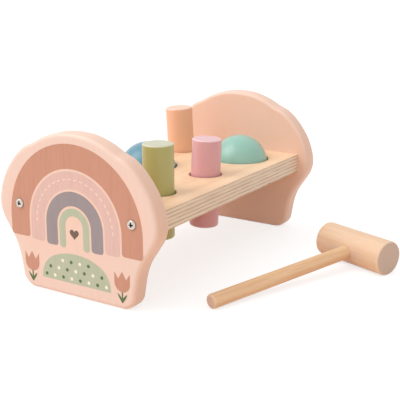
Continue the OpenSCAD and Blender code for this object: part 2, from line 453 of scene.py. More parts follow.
print("end panels")
endPanel = {
    "footWidth": 99.2, "footCorner": 11.0, "edge": 3.0, "width": 137.0, "height": 114.8, "thick": 14.0,
    "cornerTurn": 77.0, "cornerSteps": 14, "stretchSteps": 9, "edgeSteps": 8,
    # outline above the foot, as shares of half the width and of the height
    "shares": [(0.737, 0.135), (0.768, 0.220), (0.820, 0.296), (0.899, 0.368), (0.973, 0.441),
               (1.000, 0.518), (0.975, 0.605), (0.919, 0.690), (0.841, 0.763), (0.743, 0.831),
               (0.638, 0.881), (0.522, 0.912), (0.380, 0.955), (0.196, 0.990), (0.0, 1.0)],
    "flatStrip": 0.6,       # level strip inside the eased edge, so that the face shades flat
    "groundFrom": 0.55, "groundOver": 0.4,      # how far the painted sheen on the front face goes round its eased edge
    "seatRadius": 3.6, "seatDepth": 0.8, "shankRadius": 2.05, "past": 3.0, "around": 48,
}
# ground is a painted sheen: a paler tone for the front face, where the light falls strongest
peachLook = dict(satin, tone=tone(239, 201, 180), deep=tone(228, 186, 163), paleWearAndSheen=tone(243, 212, 195),
                 ground=tone(236, 210, 199), stretch=(700.0, 700.0, 45.0), streak=0.12, mottle=0.012,
                 wearAndSheen=0.4, roughness=0.46, coat=0.3, coatRoughness=0.35, bump=0.08)


# A point between b and c on a smooth curve through a, b, c and d
def smoothPoint(a, b, c, d, t):
    return [(2 * b[i] + (c[i] - a[i]) * t + (2 * a[i] - 5 * b[i] + 4 * c[i] - d[i]) * t ** 2
             + (3 * b[i] - a[i] - 3 * c[i] + d[i]) * t ** 3) / 2 for i in (0, 1)]


def panelOutline(sizes):
    half, corner = sizes["footWidth"] / 2, sizes["footCorner"]
    right = arcPoints(half - corner, corner, corner, -90, sizes["cornerTurn"] - 90, sizes["cornerSteps"])
    flare = right[-1]
    shape = [[s[0] * sizes["width"] / 2, s[1] * sizes["height"]] for s in sizes["shares"]]
    before = [2 * flare[0] - shape[0][0], 2 * flare[1] - shape[0][1]]
    guide = [before, flare] + shape + [[-shape[-2][0], shape[-2][1]]]
    for i in range(1, len(guide) - 2):
        for j in range(1, sizes["stretchSteps"] + 1):
            right.append(smoothPoint(*guide[i - 1:i + 3], j / sizes["stretchSteps"]))
    left = [[-p[0], p[1]] for p in reversed(right[:-1])]
    return right + left


def insetOutline(outline, inset):
    count, moved = len(outline), []
    for i, (x, z) in enumerate(outline):
        ahead, behind = outline[(i + 1) % count], outline[i - 1]
        along = Vector((ahead[0] - behind[0], ahead[1] - behind[1])).normalized()
        moved.append((x - inset * along.y, z + inset * along.x))
    return moved


# The panel of one end, front or back. The front one has the print
def makePanel(end, sizes):
    low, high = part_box(end + "_panel")
    middle, edge, thick = (low.x + high.x) / 2, sizes["edge"], sizes["thick"]
    face, inward = (low.y, mm) if end == "front" else (high.y, -mm)
    # each ring has a depth from the outer face and an inset from the outline
    rings = [(0.0, edge + sizes["flatStrip"])] + arcPoints(edge, edge, edge, 180, 270, sizes["edgeSteps"])
    rings += [(thick - depth, inset) for depth, inset in reversed(rings)]
    outline = panelOutline(sizes)
    stack = [[(middle + x * mm, face + depth * inward, z * mm) for x, z in insetOutline(outline, inset)]
             for depth, inset in rings]
    panel = newObject(end + "Panel", skinMesh(end + "Panel", stack))
    hole, seat, past = sizes["shankRadius"], sizes["seatRadius"], sizes["past"]
    profile = [(seat, -past), (seat, sizes["seatDepth"]), (hole, sizes["seatDepth"]), (hole, thick + past)]
    cutAway(panel, screwCutters(end, face, profile, sizes["around"]))
    markRims(panel.data, (0, 1, 0))
    if end == "front":
        # where the painted sheen goes: 1 on the outer face, fading over its eased edge
        markPoints(panel.data, "front",
                   lambda vertex: (-vertex.normal.y - sizes["groundFrom"]) / sizes["groundOver"])
    smoothOver(panel.data)
    return panel


peachPaint = paintOver("peachPaint", peachLook)
for end in ("front", "back"):
    dress(makePanel(end, endPanel), peachPaint, "bench", "panel_paint", [end + "_panel"])

print("print on the front panel")
printed = {
    "lift": 0.05,                                        # thickness of the ink
    "centre": 51.0,                                      # height of the arches' centre
    # name, ink, inner and outer radius, height of the foot
    "bands": [("terracottaArch", "terracotta", 40.0, 57.0, 37.5), ("pinkArch", "dustyPink", 26.2, 38.4, 36.5),
              ("mauveArch", "mauve", 14.6, 24.6, 35.5), ("sageArch", "sage", 7.6, 13.0, 35.0)],
    "legCorner": 2.4, "legFlat": 0.01, "outerSteps": 96, "innerSteps": 72, "cornerSteps": 6,
    "hillWidth": 60.0, "hillTop": 31.5, "hillFoot": 10.0, "hillBulge": 0.8, "hillSteps": 48,
    "tulipPlace": 39.5, "tulipFoot": 19.0, "tulipSize": 6.4, "bowlSteps": 20,
    "stemWidth": 1.1, "stemFoot": 5.0, "overlap": 0.1,
    "leafWidth": 2.0, "leafHeight": 6.2, "leafLean": 3.4, "leafSpread": 0.18, "leafBend": 1.6,
    "leafFoot": 5.4, "leafSteps": 24,
    "heartSize": 4.2, "heartPlace": 46.0, "heartSteps": 72,      # the size is from middle to tip
    "dotAround": 24,
}
frontLow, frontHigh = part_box("front_panel")
panelMiddle, printFace = (frontLow.x + frontHigh.x) / 2, frontLow.y
inkLift = printed["lift"] * mm
leftScrew, rightScrew = middleOf("front_screw_left"), middleOf("front_screw_right")

inkLook = dict(peachLook, mottle=0.02, mottleScale=70.0, roughness=0.55, smear=0.05, streak=0.48)
# Each ink's tone, and the tone of its streaks
inkTones = {
    "terracotta": (tone(202, 151, 130), tone(193, 141, 120)),
    "dustyPink": (tone(224, 193, 186), tone(215, 181, 174)),
    "mauve": (tone(156, 149, 154), tone(146, 138, 144)),
    "brown": (tone(117, 97, 86), tone(107, 87, 76)),
    "sage": (tone(185, 196, 174), tone(176, 187, 164)),
    "white": (tone(247, 243, 232), tone(240, 235, 222)),
    "forest": (tone(92, 118, 70), tone(84, 108, 62)),
    "blush": (tone(244, 221, 207), tone(238, 213, 199)),
}


# Flat printing ink that lets the grain beneath show as faint upright streaks
def inkOver(name, ink, deep):
    material, shader, spot = startMaterial(name, {"Specular IOR Level": 0.35})
    fibres = grainOf(spot, inkLook)["Fibres"]
    streak = ramp(fibres, 0.40, 0.68, top=inkLook["streak"])
    shown = blendTones(streak, mottled(shader, spot, ink, inkLook), deep)
    showFinish(shader, shown, fibres, inkLook["bump"])
    return material


inks = {name: inkOver(name + "Ink", *tones) for name, tones in inkTones.items()}


# A thin closed plate of ink from flat outlines, laid on the panel's outer face
def inkPlate(name, outlines, ink, layer=0):
    levels = [printFace - level * inkLift for level in (layer + 1, layer)]
    stacks = [[[(panelMiddle + x * mm, y, z * mm) for x, z in outline] for y in levels]
              for outline in outlines]
    plate = newObject(name, skinMesh(name, *stacks))
    dress(plate, inks[ink], "bench", "panel_paint")
    return plate


def archOutline(inner, outer, foot):
    corner = min(printed["legCorner"], (outer - inner) / 2 - printed["legFlat"])

    def legEnd(left, right):
        level, steps = foot + corner, printed["cornerSteps"]
        return (arcPoints(left + corner, level, corner, 180, 270, steps)
                + arcPoints(right - corner, level, corner, 270, 360, steps))

    over = arcPoints(0, printed["centre"], outer, 0, 180, printed["outerSteps"])
    under = arcPoints(0, printed["centre"], inner, 180, 0, printed["innerSteps"])
    return over + legEnd(-outer, -inner) + under + legEnd(inner, outer)


def hillOutline():
    steps, foot = printed["hillSteps"], printed["hillFoot"]
    angles = [pi * i / steps for i in range(steps + 1)]
    return [(printed["hillWidth"] / 2 * cos(a),
             foot + (printed["hillTop"] - foot) * sin(a) ** printed["hillBulge"]) for a in angles]


def tulipOutline(x, z, size):
    bowl = arcPoints(x, z, size, 180, 360, printed["bowlSteps"])
    tips = [(1.0, 1.15), (0.52, 0.42), (0.0, 1.25), (-0.52, 0.42), (-1.0, 1.15)]
    return bowl + [(x + size * u, z + size * v) for u, v in tips]


def stemOutline(x, top):
    half, foot = printed["stemWidth"] / 2, printed["stemFoot"]
    return [(x - half, foot), (x + half, foot), (x + half, top), (x - half, top)]


# One leaf beside the stem at x, which leans to the side that its tip moves to
def leafOutline(x, lean):
    right, left = [], []
    for i in range(printed["leafSteps"] + 1):
        t = i / printed["leafSteps"]
        swell = sin(pi * t) * printed["leafWidth"] / 2
        middle = x + lean * printed["leafSpread"] + lean * t ** printed["leafBend"]
        z = printed["leafFoot"] + printed["leafHeight"] * t
        right.append((middle + swell, z))
        left.append((middle - swell, z))
    return right + left[-2:0:-1]


def heartOutline():
    tip = 17      # what the curve below gives from its middle to its tip
    outline, scale = [], printed["heartSize"] / tip
    for i in range(printed["heartSteps"]):
        t = 2 * pi * i / printed["heartSteps"]
        x = 16 * sin(t) ** 3
        z = 13 * cos(t) - 5 * cos(2 * t) - 2 * cos(3 * t) - cos(4 * t)
        outline.append((x * scale, printed["heartPlace"] + z * scale))
    return outline


for name, ink, inner, outer, foot in printed["bands"]:
    arch = inkPlate(name, [archOutline(inner, outer, foot)], ink)
    if ink == "terracotta":      # the screws' seats go through it
        seat = [(endPanel["seatRadius"], -1), (endPanel["seatRadius"], 1)]
        cutAway(arch, screwCutters("front", printFace, seat, endPanel["around"]))
inkPlate("meadowHill", [hillOutline()], "sage")
tulip = printed["tulipSize"]
tulips = [(side * printed["tulipPlace"], printed["tulipFoot"]) for side in (-1, 1)]
inkPlate("tulipFlowers", [tulipOutline(x, z, tulip) for x, z in tulips], "terracotta")
inkPlate("tulipStems", [stemOutline(x, z - tulip + printed["overlap"]) for x, z in tulips], "forest")
leans = (-printed["leafLean"], printed["leafLean"])
inkPlate("tulipLeaves", [leafOutline(x, lean) for x, z in tulips for lean in leans], "forest", 1)
inkPlate("brownHeart", [heartOutline()], "brown")


# Geometry node trees: each takes named sizes, and ends in plain geometry with its material
def startTree(name, sizes):
    takes = dict(sizes, Material=(finishThing, None))
    return newGroup(name, "GeometryNodeTree", takes, {"Geometry": (solidThing, None)})


def endTree(geometry, takes):
    group = geometry.tree
    real = newTerm(group, "GeometryNodeRealizeInstances", {0: geometry})
    done = newTerm(group, "GeometryNodeSetMaterial", {0: real, 2: takes["Material"]})
    addNode(group, "NodeGroupOutput", {0: done})
    return group


# Dots in a staggered field, kept inside a hill; Pick 0 or 1 chooses every other one
def makeDotField():
    group, takes = startTree("dotField", {
        "Columns": (whole, 12), "Rows": (whole, 6), "Pitch": (number, 0.006),
        "Dot Radius": (number, 0.001), "Ink": (number, 0.0001), "Half Width": (number, 0.03),
        "Height": (number, 0.02), "Margin": (number, 0.002), "Row Share": (number, 0.8),
        "Pick": (whole, 0), "Centre": (vector, None),
    })
    columns, rows, pitch, margin = [takes[label] for label in ("Columns", "Rows", "Pitch", "Margin")]
    grid = newTerm(group, "GeometryNodeMeshGrid",
                   {0: pitch * (columns - 1.0), 1: pitch * (rows - 1.0), 2: columns, 3: rows})
    index = newTerm(group, "GeometryNodeInputIndex")
    column, row = calc("FLOOR", index / rows), index % rows
    x = (row % 2.0 * 0.5 + column - columns / 2.0) * pitch
    z = row * (pitch * takes["Row Share"]) + margin
    across, upward = x / (takes["Half Width"] - margin), z / (takes["Height"] - margin)
    inHill = calc("LESS_THAN", across * across + upward * upward, 1.0)
    kind = (column + calc("FLOOR", row / 2.0)) % 2.0
    chosen = inHill * calc("COMPARE", kind, takes["Pick"], 0.1)
    spot = calcVector("ADD", joinParts(x, z=z), takes["Centre"])
    placed = newTerm(group, "GeometryNodeSetPosition", {0: grid, 2: spot})
    disc = newTerm(group, "GeometryNodeMeshCylinder",
                   {0: printed["dotAround"], 3: takes["Dot Radius"], 4: takes["Ink"]})
    upright = newTerm(group, "GeometryNodeTransform", {0: disc, 2: Euler((rightAngle, 0, 0))})
    many = newTerm(group, "GeometryNodeInstanceOnPoints", {0: placed, 1: chosen, 2: upright})
    return endTree(many, takes)


# Dashes that follow an arch, from Start Angle on each side
def makeArchStitches():
    group, takes = startTree("archStitches", {
        "Arch Radius": (number, 0.03), "Count": (whole, 24), "Dash Length": (number, 0.003),
        "Dash Width": (number, 0.0008), "Ink": (number, 0.0001), "Start Angle": (number, 0.1),
        "Centre": (vector, None),
    })
    start, radius = takes["Start Angle"], takes["Arch Radius"]
    step = (start * -2.0 + pi) / (takes["Count"] - 1.0)
    angle = newTerm(group, "GeometryNodeInputIndex") * step + start
    x, z = calc("COSINE", angle) * radius, calc("SINE", angle) * radius
    spot = calcVector("ADD", joinParts(x, z=z), takes["Centre"])
    row = newTerm(group, "GeometryNodePoints", {0: takes["Count"], 1: spot})
    size = joinParts(takes["Dash Width"], takes["Ink"], takes["Dash Length"])
    dash = newTerm(group, "GeometryNodeMeshCube", {0: size})
    many = newTerm(group, "GeometryNodeInstanceOnPoints", {0: row, 2: dash, 5: joinParts(y=angle * -1.0)})
    return endTree(many, takes)


# Makes an object from a geometry tree and its named inputs, as a plain mesh
def growPiece(name, group, values):
    piece = newObject(name, bpy.data.meshes.new(name))
    grow = piece.modifiers.new("grow", "NODES")
    grow.node_group = group
    sockets = {s.name: s.identifier for s in group.interface.items_tree if s.in_out == "INPUT"}
    for label, value in values.items():
        grow[sockets[label]] = value
    settle(piece)
    return piece


dotField = makeDotField()
meadowDots = {
    "Columns": 9, "Rows": 4, "Pitch": 0.0075, "Dot Radius": 0.00125, "Ink": 2 * inkLift,
    "Half Width": printed["hillWidth"] / 2 * mm, "Height": (printed["hillTop"] - printed["hillFoot"]) * mm,
    "Margin": 0.0032, "Row Share": 0.8,
    "Centre": (panelMiddle, printFace - inkLift, printed["hillFoot"] * mm),
}
for name, pick, ink in (("whiteDots", 0, "white"), ("forestDots", 1, "forest")):
    dots = growPiece(name, dotField, dict(meadowDots, Pick=pick, Material=inks[ink]))
    finishPiece(dots, "bench", "panel_paint")
stitches = growPiece("archStitches", makeArchStitches(), {
    "Arch Radius": 0.0329, "Count": 22, "Dash Length": 0.0026, "Dash Width": 0.0008, "Ink": 2 * inkLift,
    "Start Angle": 0.02, "Centre": (panelMiddle, printFace - inkLift, printed["centre"] * mm),
    "Material": inks["blush"]})
finishPiece(stitches, "bench", "panel_paint")

print("plank")
plank = {
    "edge": 0.8, "edgeSteps": 5, "flatStrip": 0.4, "plies": 11, "past": 3.0,
    "pegHole": 12.7, "ballHole": 23.5, "holeEdge": 0.4, "holeAround": 96,
    "grooveHalf": 1.6, "pegGroove": 14.4, "ballGroove": 25.36,
    "pilotRadius": 2.05, "pilotEnd": 32.8, "pilotAround": 32,
}
plankLook = {
    "face": tone(246, 203, 162), "faceDeep": tone(234, 185, 141), "paleWearAndSheen": tone(250, 219, 186),
    "light": tone(243, 227, 206), "dark": tone(192, 168, 144), "pore": tone(214, 181, 142),
    "stretch": (1100.0, 42.0, 1100.0), "fleckLength": 0.4, "fleck": 0.18,
    "endGrain": (900.0, 900.0, 900.0), "patches": (50.0, 50.0, 300.0),
    "waver": 0.0004, "waverScale": 40.0, "fold": 100.0,       # whole plies that keep the count above 0
    "void": tone(128, 96, 68), "voidPlace": (0.0592, 0.0515, -0.0069), "voidReach": (400.0, 400.0, 1400.0),
    "mottleScale": 25.0, "mottle": 0.03, "roughness": 0.5, "smear": 0.1, "wearAndSheenScale": 200.0, "wearAndSheen": 0.6,
    "bump": 0.25, "coat": 0.08, "coatRoughness": 0.35,
}
gripRings = ["olive_peg_ring", "pink_peg_ring", "orange_peg_ring", "blue_ball_ring", "mint_ball_ring"]


# A hole with eased rims and a groove for its ring, which goes a little past the plank's faces
def holeCutter(ring, halfHigh):
    kind = "ball" if "ball" in ring else "peg"
    hole, groove = plank[kind + "Hole"], plank[kind + "Groove"]
    rim, slit, past = plank["holeEdge"], plank["grooveHalf"], plank["past"]
    upper = [(groove, slit), (hole, slit), (hole, halfHigh - rim), (hole + rim + past, halfHigh + past)]
    lower = [(radius, -height) for radius, height in reversed(upper)]
    return turnedCutter(lower + upper, Matrix.Translation(middleOf(ring)), plank["holeAround"])


def makePlank():
    middle = (plankLow + plankHigh) / 2
    halfWide, halfHigh = (plankHigh.x - plankLow.x) / 2, (plankHigh.z - plankLow.z) / 2
    edge, strip = plank["edge"] * mm, plank["flatStrip"] * mm
    section = []
    for sx, sz, first in ((1, 1, 0), (-1, 1, 90), (-1, -1, 180), (1, -1, 270)):
        cx, cz = sx * (halfWide - edge), sz * (halfHigh - edge)
        corner = arcPoints(cx, cz, edge, first, first + 90, plank["edgeSteps"])
        upright, level = (cx + sx * edge, cz - sz * strip), (cx - sx * strip, cz + sz * edge)
        before, after = (upright, level) if sx == sz else (level, upright)
        section += [before] + corner + [after]
    rings = [[(middle.x + x, y, middle.z + z) for x, z in section] for y in (plankLow.y, plankHigh.y)]
    board = newObject("benchPlank", skinMesh("benchPlank", rings))
    cutters = [holeCutter(ring, halfHigh / mm) for ring in gripRings]
    pilotDepth = plank["pilotEnd"] - endPanel["thick"]
    pilot = [(plank["pilotRadius"], -plank["past"]), (plank["pilotRadius"], pilotDepth)]
    for end, face in (("front", plankLow.y), ("back", plankHigh.y)):
        cutters += screwCutters(end, face, pilot, plank["pilotAround"])
    cutAway(board, cutters)
    cutFace = board.data.attributes.new("cutFace", "FLOAT", "FACE")
    for face in board.data.polygons:
        cutFace.data[face.index].value = 1.0 if abs(face.normal.z) < 0.5 else 0.0
    markRims(board.data, (0, 0, 1))
    smoothOver(board.data)
    return board


def makeBirchPly():
    look = plankLook
    material, shader, spot = startMaterial("birchPly", coatOf(look), (plankLow + plankHigh) / 2)
    grain = grainOf(spot, look)
    face = blendTones(ramp(grain["Bands"], 0.36, 0.66), look["face"], look["faceDeep"])
    face = blendTones(ramp(grain["Fibres"], 0.5, 0.8, top=0.5), face, look["paleWearAndSheen"])
    face = blendTones(grain["Flecks"] * look["fleck"], face, look["faceDeep"])
    # plies alternate through the thickness
    height = (noise(spot, look["waverScale"]) - 0.5) * look["waver"] + splitParts(spot)[2]
    count = height / ((plankHigh.z - plankLow.z) / plank["plies"])
    layer = ramp(calc("PINGPONG", count + look["fold"], 1.0), 0.56, 0.78)
    ends = noise(calcVector("MULTIPLY", spot, look["endGrain"]), 1.0, detail=3.0, roughness=0.6)
    lightPly = blendTones(ramp(grain["Fibres"], 0.4, 0.75, top=0.5), look["light"], look["dark"])
    darkPly = blendTones(ramp(ends, 0.35, 0.7, top=0.55), look["dark"], look["pore"])
    patches = noise(calcVector("MULTIPLY", spot, look["patches"]), 1.0)
    edge = blendTones(layer * ramp(patches, 0.35, 0.62, bottom=0.45), lightPly, darkPly)
    # a small gap in the lowest ply of the right edge
    off = calcVector("SUBTRACT", spot, look["voidPlace"])
    reach = calcVector("LENGTH", calcVector("MULTIPLY", off, look["voidReach"]))
    edge = blendTones(ramp(reach, 0.5, 1.1, bottom=1.0, top=0.0), edge, look["void"])
    cut = attributeOf(spot, "cutFace")
    # the rims are paled partly by wear, partly by a painted highlight
    paleWearAndSheen = rimWearAndSheen(spot, blendTones(cut, face, edge), look)
    relief = grain["Fibres"] + cut * (layer * -0.5)
    showFinish(shader, mottled(shader, spot, paleWearAndSheen, look), relief, look["bump"])
    return material


dress(makePlank(), makeBirchPly(), "bench", "birch_plywood", ["bench_plank"])

print("pegs, balls and mallet")


# Moves a solid's points, and ends its tree with smooth shading
def endTurned(solid, place, takes):
    moved = newTerm(solid.tree, "GeometryNodeSetPosition", {0: solid, 2: place})
    return endTree(newTerm(solid.tree, "GeometryNodeSetShadeSmooth", {0: moved}), takes)


# A round bar along Z, from 0 up, with eased ends, that follows one rule for every peg and mallet part
def makeTurnedBar():
    group, takes = startTree("turnedBar", {
        "Radius": (number, 0.01), "Length": (number, 0.06), "Edge": (number, 0.001),
        "Edge Steps": (whole, 8), "Around": (whole, 96),
    })
    edge, steps = takes["Edge"], takes["Edge Steps"]
    last = steps * 2.0 + 3.0
    bar = newTerm(group, "GeometryNodeMeshCylinder", {0: takes["Around"], 1: last, 3: 1.0, 4: 1.0})
    x, y, z = splitParts(newTerm(group, "GeometryNodeInputPosition"))
    ring = calc("ROUND", (z + 0.5) * last)
    near = calc("MINIMUM", ring, last - ring)
    angle = calc("MAXIMUM", near - 1.0, 0.0) / steps * rightAngle
    # a narrow ring round each cap, so that the cap shades flat
    flat = takes["Radius"] - edge
    capInset = calc("COMPARE", near, 0.0, 0.1) * (flat * 0.05)
    radius = calc("SINE", angle) * edge + flat - capInset
    fromEnd = edge * (1.0 - calc("COSINE", angle))
    height = calc("GREATER_THAN", z, 0.0) * (fromEnd * -2.0 + takes["Length"]) + fromEnd
    return endTurned(bar, joinParts(x * radius, y * radius, height), takes)


def makeTurnedBall():
    group, takes = startTree("turnedBall", {
        "Radius": (number, 0.02), "Fineness": (whole, 33), "Waver": (number, 0.00002),
    })
    fine = takes["Fineness"]
    cube = newTerm(group, "GeometryNodeMeshCube", {0: (2.0, 2.0, 2.0), 1: fine, 2: fine, 3: fine})
    # evens out the faces before the cube becomes a ball
    parts = splitParts(newTerm(group, "GeometryNodeInputPosition"))
    outward = calcVector("NORMALIZE", joinParts(*[calc("TANGENT", part * (pi / 4)) for part in parts]))
    radius = (noise(outward, 1.5, detail=1.0) - 1.0) * takes["Waver"] + takes["Radius"]
    return endTurned(cube, calcVector("SCALE", outward, radius), takes)


turnedBar = makeTurnedBar()
turnedBall = makeTurnedBall()
endGrain = {"from": 0.5, "over": 0.4}      # how far end grain goes round the eased edge of a bar


def axisOf(placing):
    return placing.to_3x3() @ Vector((0, 0, 1))


# Marks the flat ends of a turned bar
def markEnds(mesh, placing):
    axis = axisOf(placing)
    markPoints(mesh, "endGrain",
               lambda vertex: (abs(vertex.normal.dot(axis)) - endGrain["from"]) / endGrain["over"])


def standBar(name, sizes, material, placing):
    piece = growPiece(name, turnedBar, {
        "Radius": sizes["radius"] * mm, "Length": sizes["length"] * mm, "Edge": sizes["edge"] * mm,
        "Edge Steps": sizes["edgeSteps"], "Around": sizes["around"], "Material": material})
    piece.data.transform(placing)
    markRims(piece.data, axisOf(placing))
    return piece


peg = {
    "radius": 11.2, "length": 68.0, "edge": 1.4, "edgeSteps": 8, "around": 96,
    "leanTurn": 32.0,       # degrees round from +X, the way that a peg leans
}
# Pegs' rims are paled more than other paint: partly wear, partly a painted highlight on the top rims
pegPaint = dict(satin, wearAndSheen=0.8)
# Each peg's chalk tone pales its end faces: partly chalkier paint, partly painted light from above on the top
pegs = {
    "olive": {"lean": 0.0, "tone": tone(180, 178, 112), "deep": tone(168, 165, 98),
              "paleWearAndSheen": tone(219, 219, 188), "chalkAndTopLight": tone(219, 219, 222), "chalkAndTopLightShare": 0.4},
    "pink": {"lean": 2.0, "tone": tone(222, 167, 172), "deep": tone(209, 149, 154),
             "paleWearAndSheen": tone(243, 213, 217), "chalkAndTopLight": tone(243, 213, 217), "chalkAndTopLightShare": 0.22},
    "orange": {"lean": -3.0, "tone": tone(246, 187, 150), "deep": tone(236, 171, 131),
               "paleWearAndSheen": tone(252, 216, 198), "chalkAndTopLight": tone(252, 218, 210), "chalkAndTopLightShare": 0.24},
}
leanTurn = Matrix.Rotation(radians(peg["leanTurn"]), 4, "Z")
for name, look in pegs.items():
    node = name + "_peg"
    turn = leanTurn @ Matrix.Rotation(radians(look["lean"]), 4, "Y")
    placing = Matrix.Translation(middleOf(node)) @ turn @ Matrix.Translation((0, 0, -peg["length"] / 2 * mm))
    paint = paintOver(name + "Paint", dict(pegPaint, **look), middleOf(node), turn.to_euler())
    stick = standBar(name + "Peg", peg, paint, placing)
    markEnds(stick.data, placing)
    finishPiece(stick, node, name + "_paint", [node])

ball = {"radius": 22.5, "waver": 0.02, "fineness": 33}
ballPaint = dict(satin, coat=0.85, roughness=0.4)
balls = {
    "blue": {"tone": tone(78, 139, 161), "deep": tone(68, 128, 151), "paleWearAndSheen": tone(176, 212, 226)},
    "mint": {"tone": tone(143, 192, 176), "deep": tone(131, 180, 164), "paleWearAndSheen": tone(196, 230, 216)},
}
for name, look in balls.items():
    node = name + "_ball"
    paint = paintOver(name + "Paint", dict(ballPaint, **look), middleOf(node))
    bead = growPiece(name + "Ball", turnedBall, {
        "Radius": ball["radius"] * mm, "Fineness": ball["fineness"], "Waver": ball["waver"] * mm,
        "Material": paint})
    bead.data.transform(Matrix.Translation(middleOf(node)))
    finishPiece(bead, node, name + "_paint", [node])

mallet = {
    "head": {"radius": 13.0, "length": 62.0, "edge": 1.6, "edgeSteps": 8, "around": 120},
    "handle": {"radius": 5.2, "length": 149.0, "edge": 1.8, "edgeSteps": 8, "around": 72},
    "socketDepth": 19.0, "glueGap": 0.05, "socketLength": 30.0, "turn": -19.8,
}
beech = {
    "stretch": (1700.0, 1700.0, 75.0), "fleckLength": 0.3, "fleck": 0.4,
    "heart": (0.021, 0.009, 0.0), "ringsPerMetre": 1150.0, "waver": 0.0022, "waverScale": 90.0,
    "pores": (2600.0, 2600.0, 300.0), "flat": (1.0, 1.0, 0.0),
    "mottleScale": 40.0, "mottle": 0.03, "roughness": 0.5, "smear": 0.08, "wearAndSheenScale": 260.0, "bump": 0.22,
    "coat": 0.06, "coatRoughness": 0.4,
}
malletLook = {
    "head": {"tone": tone(233, 199, 167), "deep": tone(224, 185, 150), "paleWearAndSheen": tone(241, 212, 184),
             "end": tone(210, 188, 173), "endDeep": tone(194, 171, 154), "wearAndSheen": 0.9, "bands": 0.6},
    "handle": {"tone": tone(241, 204, 163), "deep": tone(226, 180, 134), "paleWearAndSheen": tone(247, 218, 185),
               "end": tone(222, 191, 170), "endDeep": tone(208, 173, 149), "wearAndSheen": 0.35, "bands": 1.0},
}


# Sanded beech: fibres and short flecks along Z of the piece, growth rings on its ends
def beechWood(name, look, placing):
    look = dict(beech, **look)
    material, shader, spot = startMaterial(name, coatOf(look), placing.translation, placing.to_euler())
    grain = grainOf(spot, look)
    side = blendTones(ramp(grain["Bands"], 0.35, 0.68, top=look["bands"]), look["tone"], look["deep"])
    side = blendTones(ramp(grain["Fibres"], 0.48, 0.8, top=0.6), side, look["paleWearAndSheen"])
    side = blendTones(grain["Flecks"] * look["fleck"], side, look["deep"])
    # growth rings about a heart that lies outside the bar
    off = calcVector("MULTIPLY", calcVector("ADD", spot, look["heart"]), look["flat"])
    wave = noise(spot, look["waverScale"], detail=3.0, roughness=0.6) * look["waver"]
    rings = calc("PINGPONG", (calcVector("LENGTH", off) + wave) * look["ringsPerMetre"], 1.0)
    pores = noise(calcVector("MULTIPLY", spot, look["pores"]), 1.0, roughness=0.6)
    end = blendTones(ramp(rings, 0.35, 1.0, top=0.75), look["end"], look["endDeep"])
    end = blendTones(ramp(pores, 0.5, 0.75, top=0.45), end, look["endDeep"])
    # the rims are paled partly by wear, partly by a painted highlight
    paleWearAndSheen = rimWearAndSheen(spot, blendTones(attributeOf(spot, "endGrain"), side, end), look)
    showFinish(shader, mottled(shader, spot, paleWearAndSheen, look), grain["Fibres"], look["bump"])
    return material


# The handle slopes until its free end meets the floor
headRadius, handle = mallet["head"]["radius"], mallet["handle"]
slopeRun = handle["length"] - mallet["socketDepth"] + headRadius - handle["edge"]
slopeDrop = handle["radius"] - handle["edge"]
slope = (asin((headRadius - handle["edge"]) / hypot(slopeRun, slopeDrop))
         - atan2(slopeDrop, slopeRun))
lie = (Matrix.Translation(middleOf("mallet_head")) @ Matrix.Rotation(radians(mallet["turn"]), 4, "Z")
       @ Matrix.Rotation(slope, 4, "X"))
headPlace = (lie @ Matrix.Translation((-mallet["head"]["length"] / 2 * mm, 0, 0))
             @ Matrix.Rotation(rightAngle, 4, "Y"))
handlePlace = (lie @ Matrix.Translation((0, (mallet["socketDepth"] - headRadius) * mm, 0))
               @ Matrix.Rotation(rightAngle, 4, "X"))
headWood = beechWood("beechHead", malletLook["head"], headPlace)
handleWood = beechWood("beechHandle", malletLook["handle"], handlePlace)
malletHead = standBar("malletHead", mallet["head"], headWood, headPlace)
socketRadius = handle["radius"] + mallet["glueGap"]
socket = [(socketRadius, 0), (socketRadius, mallet["socketLength"])]
cutAway(malletHead, [turnedCutter(socket, handlePlace, handle["around"])])
smoothOver(malletHead.data)
malletHandle = standBar("malletHandle", handle, handleWood, handlePlace)
for piece, placing, node in ((malletHead, headPlace, "mallet_head"),
                             (malletHandle, handlePlace, "mallet_handle")):
    markEnds(piece.data, placing)
    finishPiece(piece, "mallet", "beech", [node])

print("screws and grip rings")
screw = {
    "shank": 2.0, "length": 30.0, "point": 5.0, "tip": 0.05, "around": 64,
    "headRadius": 3.3, "headHeight": 2.0, "headRound": 1.0, "roundSteps": 8, "core": 0.6, "sink": 0.8,
    "armWidth": 1.3, "armTip": 0.9, "span": 4.4, "armShare": 0.45, "depth": 1.3, "past": 0.5,
    "recessTop": 0.05, "recessEnd": 2.0, "smoothAngle": 28,
}
# The recess tone is painted shade for the cross recess of the screws
steelLook = {"tone": tone(214, 206, 197), "recessShade": tone(34, 29, 26), "mottleScale": 500.0, "mottle": 0.08,
             "roughness": 0.34, "smear": 0.1, "skinScale": 1500.0, "bump": 0.15}
rubberLook = {"tone": tone(74, 68, 62), "mottleScale": 300.0, "mottle": 0.12,
              "roughness": 0.72, "smear": 0.1, "skinScale": 2200.0, "bump": 0.2}


